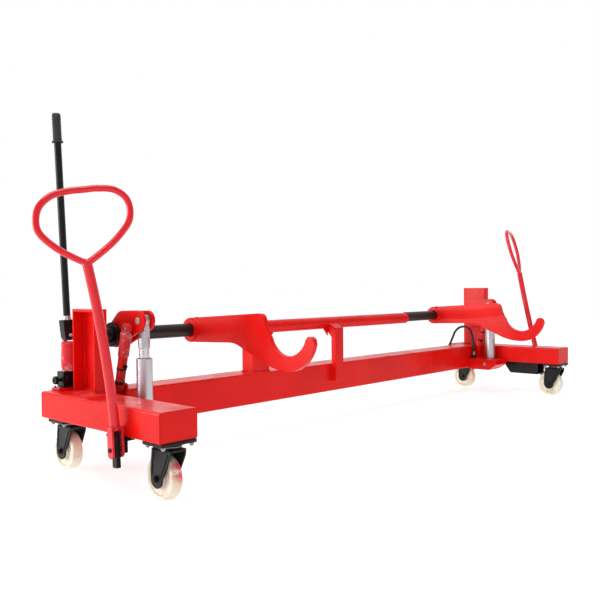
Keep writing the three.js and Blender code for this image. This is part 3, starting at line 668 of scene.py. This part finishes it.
def lift_lever(side, word):
    """Two cheeks joined by the hub, with the ram's pin across the slot."""
    outline = around_circles(((SHAFT_Y, SHAFT_Z, 50), (208, 543, 59), (PIN_Y, PIN_Z, 37)))
    x0, x1 = gear_span(side, 214, 266)
    shape = Shape()
    shape.extruded(outline, x0, x0 + LEVER_PLATE, along_x, 2.2)
    shape.extruded(outline, x1 - LEVER_PLATE, x1, along_x, 2.2)
    hub = [(SHAFT_Y + (u - SHAFT_Y) * 0.99, v) for u, v in clipped(outline, 205)]
    shape.extruded(hub, x0 + LEVER_PLATE - 1, x1 - LEVER_PLATE + 1, along_x, 0.6)
    stub = gear_span(side, 179, 216)
    shape.rod(8, *stub, along_x, *STRUT_TOP, 1)
    shape.piece(f"{word}_lever_cheeks", "lift", "red_paint", RED, f"{word}_lift_lever")
    seams = Shape()
    for x in (x0 - 0.5, x1 + 0.5):
        rim = [(x, y, z) for y, z in arc(SHAFT_Y, SHAFT_Z, 30.5, 0, 345, 23)]
        seams.bead(rim, 2.4, True)
    seams.piece(f"{word}_lever_welds", "lift", "red_paint", WELD)
    pin_x = gear_span(side, 210, 270)
    pin = Shape().rod(PIN_R, *pin_x, along_x, PIN_Y, PIN_Z, 1)
    for x in (pin_x[0] + 1.2, pin_x[1] - 3.2):
        pin.ring(13.5, PIN_R + 0.1, x, x + 2, along_x, PIN_Y, PIN_Z, 0.4, 32)
    pin.piece(f"{word}_lever_pin_fit", "lift", "bright_steel", ZINC, f"{word}_lever_pin")
    washer = Shape().ring(13, 8.1, *gear_span(side, 179.4, 181.4), along_x, *STRUT_TOP, 0.4, 32)
    washer.piece(f"{word}_strut_washer", "lift", "bright_steel", ZINC)


def hook_outline():
    """Side view of a hook arm about the shaft's axis, as (Y, Z)."""
    outline = arc(0, 0, 51, -90, -270, 24)
    outline = [(-u, v) for u, v in outline]
    shoulder, neck, throat = (-412, 76), (-446, 52), (-476, -15)
    outline += [shoulder]
    outline += curve_to(shoulder, (-440, 77), neck)
    outline += curve_to(neck, (-452, 18), throat)
    outline += arc(-568, 18, 98, -20, -156, 40)
    outline += arc(-678, -24, 20.5, math.degrees(0.15), 180, 16)
    outline += arc(-568, 0, 136, 192.6, 268.2, 26)
    foot = outline[-1]
    outline += curve_to(foot, (-510, -137), (-455, -117))
    outline += [(-305, -54)]
    outline += curve_to((-305, -54), (-280, -43), (-245, -43))
    return [(u + SHAFT_Y, v + SHAFT_Z) for u, v in outline]


def hook_arm(word):
    """Flat hook with a hub on one side, and the screw that locks it on the shaft."""
    x = ARM_X[word]
    shape = Shape().extruded(hook_outline(), x - 10, x + 10, along_x, 1.8)
    shape.ring(COLLAR_R, SHAFT_R + GAP, x - 14, x + 38, along_x, SHAFT_Y, SHAFT_Z, 2.5, 64)
    body = f"{word}_arm"
    shape.piece(f"{word}_arm_plate", body, "red_paint", RED, f"{word}_hook_arm")
    seams = Shape()
    for place in (x - 10.5, x + 10.5):
        rim = [(place, y, z) for y, z in arc(SHAFT_Y, SHAFT_Z, COLLAR_R + 0.5, 0, 350, 35)]
        seams.bead(rim, 2.8, True)
    seams.piece(f"{word}_arm_weld", body, "red_paint", WELD)
    screw = Shape().rod(6, SHAFT_Z + 45, SHAFT_Z + 49, along_z, x + 26, SHAFT_Y, 0.8, 20)
    screw.extruded(hexagon(x + 26, SHAFT_Y, 8), SHAFT_Z + 46, SHAFT_Z + 54, along_z, 0.8)
    screw.piece(f"{word}_arm_lock_screw", body, "bright_steel", ZINC)


# ---- rams and struts ----
def ram(side, word):
    """Upright ram: barrel with its wiper, rod with its eye, and the bolt it stands on."""
    x = gear_x(side, 240)
    place = (x, PIN_Y)
    top, bottom, bore = 426, 168, RAM_ROD_R + GAP
    barrel = [(0, bottom), (RAM_R, bottom), (RAM_R, top), (bore, top), (bore, 300), (0, 300)]
    shape = Shape().turned(barrel, along_z, *place, 1.6, 64)
    shape.piece(f"{word}_ram_tube", f"{word}_ram_barrel", "bright_steel", BARREL,
                f"{word}_ram_barrel")
    wiper = Shape().ring(24, RAM_ROD_R + 0.2, top - 1, top + 1.5, along_z, *place, 0.8, 48)
    wiper.piece(f"{word}_ram_wiper", f"{word}_ram_barrel", "rubber", HOSE)
    rod = Shape().rod(RAM_ROD_R, 280, 464, along_z, *place, 0.8, 64)
    rod.piece(f"{word}_ram_piston_rod", f"{word}_ram_rod", "bright_steel", CHROME,
              f"{word}_ram_rod")
    end = Shape().rod(22, 463, 502, along_z, *place, 2, 64)
    eye = [(PIN_Y + RAM_ROD_R, 500), (PIN_Y + RAM_ROD_R, 553)]
    eye += arc(PIN_Y, PIN_Z, 23, -34, 214, 28)
    eye += [(PIN_Y - RAM_ROD_R, 500)]
    end.extruded(eye, x - 12, x + 12, along_x, 2)
    end.piece(f"{word}_ram_eye", f"{word}_ram_rod", "bright_steel", BARREL)
    foot_x = span(side, 152, 289)
    pin = Shape().rod(PIN_R, *foot_x, along_x, PIN_Y, RAM_FOOT_Z, 1)
    pin.piece(f"{word}_ram_foot_bolt", "frame", "bright_steel", ZINC, f"{word}_ram_foot_pin")


def strut(side, word):
    """Side strut beside the ram: a painted tube with a port, and a rod with an eye."""
    back, rise = STRUT_FOOT[0] - STRUT_TOP[0], STRUT_TOP[1] - STRUT_FOOT[1]
    tilt = math.atan2(back, rise)
    length = math.hypot(back, rise)
    x = gear_x(side, 194)
    stand = Matrix.Translation((x, *STRUT_FOOT)) @ Matrix.Rotation(tilt, 4, "X")
    top, bore = 158, STRUT_ROD_R + GAP
    wall = [(0, 14), (STRUT_R, 14), (STRUT_R, top - 3), (STRUT_R - 3, top)]
    wall += [(bore, top), (bore, 44), (0, 44)]
    tube = Shape().turned(wall, along_z, 0, 0, 1.2)
    tube.extruded(arc(0, 0, 15, -180, 0, 16) + [(15, 20), (-15, 20)], -11, 11, along_x, 1.5)
    tube.moved(stand)
    barrel = f"{word}_strut_barrel"
    tube.piece(f"{word}_strut_tube", barrel, "red_paint", RED_OILY, barrel)
    port = 88  # height of the port up the tube
    gland = Shape().rod(7, -27, -15, along_y, port, 0, 0.8, 24)
    gland.extruded(hexagon(port, 0, 9), -24, -17, along_y, 0.7)
    for low, high in ((70, 78), (14.2, 26)):
        gland.ring(STRUT_R + 1.2, STRUT_R - 0.4, low, high, along_z, 0, 0, 0.8)
    gland.moved(stand)
    gland.piece(f"{word}_strut_port", barrel, "black_paint", BLACK_OILY)
    rod = Shape().rod(STRUT_ROD_R, 72, length - 12, along_z, 0, 0, 0.8)
    rod.moved(stand)
    rod.piece(f"{word}_strut_piston_rod", f"{word}_strut_rod", "bright_steel", CHROME,
              f"{word}_strut_rod")
    eye = Shape().ring(19, 11, -11, 11, along_x, 0, length, 1.8)
    shroud = STRUT_R + 3
    eye.ring(shroud, STRUT_R + 0.6, 124, length - 22, along_z, 0, 0, 1.2)
    cap = [(0, length - 28), (shroud, length - 28), (shroud, length - 20)]
    cap += [(14, length - 12), (0, length - 12)]
    eye.turned(cap, along_z, 0, 0, 1.5)
    eye.moved(stand)
    eye.piece(f"{word}_strut_shroud", f"{word}_strut_rod", "red_paint", RED_PATCHY)


# ---- casters ----
def caster(side, word, end):
    """Swivel caster: bolted plate with its race, pressed fork, nylon wheel and axle bolt."""
    x, y = side * (HALF - 75), CASTER_Y[end]
    name = f"{word}_{end}"
    move = Matrix.Translation((x, y, 0))
    plate = Shape().extruded(box_outline(-70, 70, -55, 55, 8), 189.7, 199.7, along_z, 1.2)
    plate.turned([(0, 182.7), (33, 182.7), (36, 186), (36, 191), (0, 191)], along_z, 0, 0, 1.2)
    plate.moved(move)
    node = f"{name}_caster_plate"
    plate.piece(f"{node}_race", "frame", "black_paint", BLACK, node)
    bolts = Shape()
    for u in (-56, 56):
        for v in (-41, 41):
            bolts.nut(8, 189.7, 181.5, along_z, u, v)
            bolts.rod(4.5, 178, 182.5, along_z, u, v, 0.6, 16)
    bolts.moved(move)
    bolts.piece(f"{name}_plate_bolts", "frame", "bright_steel", ZINC)
    swivel, wheel_body = f"{name}_swivel", f"{name}_wheel"
    axle_y, axle_z = WHEEL_TRAIL, WHEEL_R
    cheek = rounded([(-44, 173), (-42, 152), (axle_y - 44, 96), (axle_y - 30, axle_z)], 16, False)
    cheek += arc(axle_y, axle_z - 2, 30, 180, 360, 20)
    cheek += rounded([(axle_y + 30, axle_z), (axle_y + 31, 104), (56, 152), (54, 173)], 16, False)
    cheek = list(dict.fromkeys(cheek))
    fork = Shape()
    for inner, outer in ((-26, -33), (26, 33)):
        fork.extruded(cheek, *sorted((inner, outer)), along_x, 1.8)
    fork.extruded(box_outline(-33, 33, -44, 54, 9), 165.5, 174, along_z, 2.5)
    fork.turned([(0, 173), (39, 173), (36.5, 182.1), (0, 182.1)], along_z, 0, 0, 2.5)
    fork.rod(19, 160, 167, along_z, 0, 0, 3)
    for rib_x in (-34, 34):
        for head_y, foot_y in ((-33, axle_y - 24), (45, axle_y + 22)):
            rib = [(rib_x, head_y, 160), (rib_x, foot_y, 84)]
            fork.swept(smooth_path(rib, 8), 1.6, 8)
    fork.moved(move)
    fork.piece(f"{name}_fork_pressing", swivel, "black_paint", BLACK, f"{name}_caster_fork")
    ring = Shape().ring(40.5, 34, 180.2, 183.2, along_z, 0, 0, 1.2)
    ring.moved(move)
    ring.piece(f"{name}_dust_ring", swivel, "bright_steel", ZINC)
    axle = Shape().rod(6, -45, 45, along_x, axle_y, axle_z, 0.8, 24)
    axle.nut(11, -33.3, -42, along_x, axle_y, axle_z)
    axle.nut(11, 33.3, 43, along_x, axle_y, axle_z)
    axle.moved(move)
    axle.piece(f"{name}_axle_bolt", swivel, "black_paint", BLACK_OILY, f"{name}_caster_axle")
    wheel = Shape()
    half, r = 22, WHEEL_R
    profile = [(6.3, -24), (22, -24), (24, -16), (r - 20, -16), (r - 17, -half), (r - 8, -half)]
    profile += [(r - 2.5, -half + 4), (r, -6), (r, 6), (r - 2.5, half - 4), (r - 8, half)]
    profile += [(r - 17, half), (r - 20, 16), (24, 16), (22, 24), (6.3, 24)]
    wheel.turned(profile, along_x, axle_y, axle_z, 3, 72)
    wheel.moved(move)
    cream = NYLON_SMEARED if name == "left_front" else NYLON
    wheel.piece(f"{name}_nylon_wheel", wheel_body, "nylon", cream, f"{name}_caster_wheel")
    hub = Shape()
    for low, high in ((-25, -22), (22, 25)):
        hub.ring(17, 7, low, high, along_x, axle_y, axle_z, 0.8, 40)
    hub.moved(move)
    hub.piece(f"{name}_hub_caps", wheel_body, "bright_steel", ZINC)


# ---- tow handles ----
LOOP_HALF = (
    (0, 0), (0.16, 0.06), (0.58, 0.24), (0.92, 0.46), (1.0, 0.64), (0.92, 0.83),
    (0.66, 0.96), (0.3, 1.0), (0, 1.0),
)


def tow_handle(side, word):
    """Bent stem with a fork at its foot and a closed hand loop."""
    bend = HANDLES[word]
    ring_z = bend["ring_z"]

    def out(height):
        share = max(0, height - 60) / (ring_z - 60)
        return side * bend["bow"] * share * (0.45 + 0.55 * share)

    tilt = Matrix.Rotation(math.radians(bend["twist"]), 3, "Z")
    tilt = tilt @ Matrix.Rotation(math.radians(-bend["roll"]), 3, "Y")
    tip = side * math.tan(math.radians(bend["tip"]))

    def loop_point(across, up):
        point = tilt @ Vector((across * LOOP_REACH, 0, up * bend["high"]))
        return (point.x + out(ring_z) + tip * point.z, point.y, point.z + ring_z)

    stand = Matrix.Translation((side * (HALF + TOW_OUTSET), TOW_Y, TOW_Z))
    stand = stand @ Matrix.Rotation(math.radians(-bend["lean"]), 4, "X")
    stem_path = smooth_path([(out(z), 0, z) for z in (62, 160, 270, 380, 490, ring_z)], 5)
    top = Vector(loop_point(0, 0))
    handle = Shape().swept(stem_path, STEM_R, 32)
    dome = ((-6, 16), (-2, 16.6), (4, 16.6), (9, 14.5), (12, 11), (14, 4))
    handle.swept([top + Vector((0, 0, z)) for z, _ in dome], lambda i: dome[i][1], 32)
    halves = [loop_point(u, v) for u, v in LOOP_HALF]
    halves += [loop_point(-u, v) for u, v in LOOP_HALF[-2:0:-1]]
    loop = smooth_path([loop_point(0, 0.012), *halves[1:], loop_point(0, 0.012)], 6)
    handle.swept(loop, LOOP_R, 28)
    cheek = around_circles(((0, 60, 15), (0, -12, 16)))
    for inner, outer in ((-22.5, -14.5), (14.5, 22.5)):
        handle.extruded(cheek, inner, outer, along_x, 1.4)
    handle.block((-21.8, 21.8), (-14.4, 14.4), (61, 74), 3)
    handle.moved(stand)
    body = f"{word}_handle"
    handle.piece(f"{word}_tow_loop", body, "red_paint", RED_HANDLE, f"{word}_tow_handle")
    seams = Shape()
    seams.bead([top + Vector((11.5 * math.cos(t * 0.7), 11.5 * math.sin(t * 0.7), 9.5))
                for t in range(9)], 2.4, True)
    seams.bead([(out(74) + 16.5 * math.cos(t * 0.6283), 16.5 * math.sin(t * 0.6283), 74.5)
                for t in range(10)], 2.4, True)
    seams.moved(stand)
    seams.piece(f"{word}_tow_welds", body, "red_paint", WELD)
    tongue = Shape().block((-8, 8), (-13, 13), (-59, 60), 1.6)
    tongue.moved(stand)
    tongue.piece(f"{word}_tow_tongue", body, "black_paint", BLACK_OILY)


# ---- hand pump ----
def hand_pump():
    """Base plate, valve casting, cylinder, plunger and release knob, each its own piece."""
    x, y = PUMP_X, PUMP_Y
    plate = Shape().block((x - 55, x + 45), (y - 25, y + 30), (300.3, 310.3), 1.6)
    plate.piece("pump_mounting_plate", "frame", "red_paint", RED, "pump_base_plate")
    valve = Shape().block((x - 34, x + 30), (y - 22, y + 26), (310.6, 372), 2.5)
    valve.rod(9, y - 30, y - 20, along_y, 345, x - 14, 1, 24)
    valve.extruded(hexagon(345, x - 14, 11), y - 27, y - 21.5, along_y, 0.8)
    valve.rod(7, y - 28, y - 20, along_y, 330, x + 16, 1, 24)
    valve.rod(10, x + 28, x + 36, along_x, 412, 338, 1, 24)
    valve.extruded(hexagon(412, 338, 11.5), x + 29.5, x + 34, along_x, 0.8)
    valve.piece("pump_valve_casting", "frame", "black_paint", BLACK_OILY, "pump_valve_block")
    bolts = Shape()
    for u in (x - 46, x + 37):
        for v in (y - 15, y + 20):
            bolts.nut(5.5, 310.3, 317, along_z, u, v)
    for u in (x - 24, x + 20):
        bolts.rod(5, 370, 376, along_z, u, y - 13, 1, 24)
    bolts.piece("pump_bolts", "frame", "bright_steel", ZINC)
    body = [(0, 372.3), (24, 372.3), (24, 380), (27, 392), (27, 430), (26, 432), (26, 466)]
    body += [(27, 468), (27, 478), (22, 485), (11.3, 485), (11.3, 386), (0, 386)]
    cylinder = Shape().turned(body, along_z, x, y, 1.2, 56)
    cylinder.block((x - 8, x + 8), (y + 20, y + 32), (440, 522), 2)
    cylinder.rod(6, y - 26, y + 30, along_y, SOCKET_Z, x, 0.8, 24)
    cylinder.piece("pump_cylinder", "frame", "red_paint", RED_PATCHY, "pump_body")
    plunger = Shape().rod(11, 402, 483, along_z, x, y, 0.8)
    plunger.piece("pump_plunger_rod", "plunger", "bright_steel", CHROME, "pump_plunger")
    end = x - 34.3
    knob = Shape().rod(6, end - 26, end, along_x, y, RELEASE_Z, 0.6, 24)
    knob.rod(15, end - 26, end - 12, along_x, y, RELEASE_Z, 1.5, 40)
    for turn in range(0, 360, 24):
        u = y + 14.6 * math.cos(math.radians(turn))
        v = RELEASE_Z + 14.6 * math.sin(math.radians(turn))
        knob.rod(1.1, end - 24.5, end - 13.5, along_x, u, v, 0.3, 8)
    knob.piece("release_knob", "release_valve", "black_paint", BLACK, "pump_release_valve")


def pump_lever():
    """Socket, tube and ribbed grip, leaning outwards together about the socket's pivot."""
    angle = math.atan2(LEVER_OUT, LEVER_TOP - SOCKET_Z)
    lean = Matrix.Translation((PUMP_X, PUMP_Y, SOCKET_Z)) @ Matrix.Rotation(-angle, 4, "Y")
    length = (LEVER_TOP - SOCKET_Z) / math.cos(angle) - 2
    profile = rounded([(-8, -21), (-20, -14), (-20, 14), (-8, 21), (58, 26), (58, -26)], 3)
    socket = Shape().extruded(profile, -17, 17, along_y, 1.6)
    socket.moved(lean)
    socket.piece("lever_socket_block", "pump_lever", "black_paint", BLACK, "pump_lever_socket")
    ring = Shape().ring(15.5, 13.3, 58, 74, along_z, 0, 0, 1, 40)
    ring.ring(17.5, 13.3, 58, 62, along_z, 0, 0, 1, 40)
    ring.moved(lean)
    ring.piece("lever_socket_ring", "pump_lever", "bright_steel", BARREL)
    tube = Shape().rod(13.2, 56, length - 1, along_z, 0, 0, 1, 40)
    tube.moved(lean)
    tube.piece("lever_tube", "pump_lever", "black_paint", BLACK, "pump_lever")
    foot = length - 108
    profile = [(13.5, foot), (21, foot), (21, foot + 5), (16, foot + 8)]
    station = foot + 14
    while station < length - 12:
        profile += [(16.5, station), (16.5, station + 4), (15.2, station + 5.5)]
        profile.append((15.2, station + 7.5))
        station += 9
    profile += [(16.5, length - 6), (13, length + 2), (0, length + 2)]
    grip = Shape().turned([(0, foot + 0.2)] + profile, along_z, 0, 0, 0.7, 48)
    grip.moved(lean)
    grip.piece("lever_grip_sleeve", "pump_lever", "rubber", GRIP, "pump_lever_grip")


# ---- hose, lugs and guard ----
def hose():
    """Hose along its route, with a ferrule at each end, and its clips on the main beam."""
    path = smooth_path(HOSE_ROUTE, 8)
    tube = Shape().swept(path, HOSE_R, 20)
    tube.piece("pressure_hose", "frame", "rubber", HOSE, "hydraulic_hose")
    ends = Shape()
    pump_end, ram_end = HOSE_ROUTE[0][1:], HOSE_ROUTE[-1][:2]
    ends.ring(9, HOSE_R - 0.2, -1424, -1392, along_x, *pump_end, 1, 32)
    ends.ring(9, HOSE_R - 0.2, 241, 262, along_z, *ram_end, 1, 32)
    ends.piece("hose_ferrules", "frame", "bright_steel", ZINC)
    fitting = Shape().rod(10, 220.3, 240, along_z, *ram_end, 1, 32)
    fitting.extruded(hexagon(*ram_end, 11.5), 224, 234, along_z, 0.8)
    fitting.piece("hose_elbow", "frame", "black_paint", BLACK_OILY, "right_hose_fitting")
    clips = Shape()
    for x in HOSE_CLIP_X:
        strap = [(x, 364 + 8.4 * math.cos(t), 270 + 8.4 * math.sin(t))
                 for t in (math.radians(a) for a in range(-90, 271, 20))]
        for offset in (-5, -2.5, 0, 2.5, 5):
            clips.swept([(p[0] + offset, p[1], p[2]) for p in strap], 1.4, 8)
        clips.block((x - 7, x + 7), (355.3, 358), (278, 296), 0.6)
        clips.extruded(hexagon(287, x, 4.5), 358, 361.5, along_y, 0.5)
    clips.piece("hose_clips", "frame", "bright_steel", ZINC)


# ---- assembly ----
for side, word in SIDES:
    end_box(side, word)
    column(side, word)
    bearing(side, word)
    collar(side, word)
    lift_lever(side, word)
    hook_arm(word)
    ram(side, word)
    strut(side, word)
    tow_handle(side, word)
    dressed(f"{word}_seat_bracket", 1.2, "frame", "red_paint", RED)
    dressed(f"{word}_tow_lug", 0.8, "frame", "black_paint", BLACK)
    for end in CASTER_Y:
        caster(side, word, end)
main_beam()
centre_sleeve()
cross_shaft()
hand_pump()
pump_lever()
hose()
dressed("right_guard", 0.8, "frame", "black_paint", BLACK_OILY)


# ---- studio ----
def floor():
    """Plain pale floor, lit a little from within so that it stays near white far away."""
    shape = Shape()
    reach = 60000
    corners = ((-reach, -reach, 0), (reach, -reach, 0), (reach, reach, 0), (-reach, reach, 0))
    shape.add(corners, [(0, 1, 2, 3)])
    mesh = bpy.data.meshes.new("studio_floor")
    shape.bm.to_mesh(mesh)
    shape.bm.free()
    mesh.transform(Matrix.Scale(MM, 4))
    made = bpy.data.objects.new("studio_floor", mesh)
    bpy.context.scene.collection.objects.link(made)
    paint = Paint("studio_floor_white", Emission_Color=(1, 1, 1, 1), Emission_Strength=0.7)
    tone = paint.ramp(paint.noise(0.8, 2.0), 0.3, 0.7)
    paint.colour(paint.mixed(tone, (0.53, 0.532, 0.535, 1), (0.54, 0.54, 0.54, 1)))
    paint.roughness(paint.ramp(paint.noise(2.0, 2.0), 0.3, 0.7, 0.85, 0.95))
    mesh.materials.append(paint.material)


def area_light(name, place, target, size, power):
    data = bpy.data.lights.new(name, "AREA")
    data.shape = "DISK"
    data.size = size
    data.energy = power
    lamp = bpy.data.objects.new(name, data)
    bpy.context.scene.collection.objects.link(lamp)
    lamp.location = place
    lamp.rotation_mode = "QUATERNION"
    lamp.rotation_quaternion = (Vector(target) - Vector(place)).to_track_quat("-Z", "Y")
    return lamp


def studio():
    world = bpy.data.worlds.new("studio_world")
    bpy.context.scene.world = world
    world.use_nodes = True
    tree = world.node_tree
    sky = tree.nodes["Background"]
    sky.inputs["Strength"].default_value = 1.0
    heading = tree.nodes.new("ShaderNodeTexCoord").outputs["Generated"]
    toward = tree.nodes.new("ShaderNodeVectorMath")
    toward.operation = "DOT_PRODUCT"
    toward.inputs[1].default_value = (0.73, 0.68, 0.0)
    tree.links.new(heading, toward.inputs[0])
    fade = tree.nodes.new("ShaderNodeMapRange")
    for socket, value in zip(("From Min", "From Max", "To Min", "To Max"), (0.1, 0.75, 0.34, 1.0)):
        fade.inputs[socket].default_value = value
    tree.links.new(toward.outputs["Value"], fade.inputs["Value"])
    tree.links.new(fade.outputs["Result"], sky.inputs["Color"])
    floor()
    middle = (0, 0.1, 0.4)
    area_light("key_softbox", (-2.0, -0.4, 4.6), middle, 3.6, 125)
    area_light("front_softbox", (1.5, -4.5, 4.2), middle, 3.0, 24).visible_glossy = False
    area_light("left_softbox", (-5.6, 3.4, 1.5), (-1.5, 0, 0.5), 3.0, 190)


def camera():
    """The view from the left front corner, at about waist height."""
    yaw, pitch, roll = 0.82178, -0.01494, -0.0095
    ahead = Vector((math.sin(yaw) * math.cos(pitch), math.cos(yaw) * math.cos(pitch),
                    math.sin(pitch)))
    level = Vector((math.cos(yaw), -math.sin(yaw), 0))
    top = level.cross(ahead)
    right = level * math.cos(roll) + top * math.sin(roll)
    up = top * math.cos(roll) - level * math.sin(roll)
    data = bpy.data.cameras.new("camera")
    data.lens = 42.73
    data.sensor_width = 36
    data.clip_start = 0.05
    data.clip_end = 200
    made = bpy.data.objects.new("camera", data)
    bpy.context.scene.collection.objects.link(made)
    turn = Matrix((right, up, -ahead)).transposed().to_4x4()
    made.matrix_world = Matrix.Translation((-2.8513, -2.1240, 0.6764)) @ turn
    bpy.context.scene.camera = made


studio()
camera()
bpy.context.scene.view_settings.view_transform = "Standard"
bpy.context.view_layer.update()
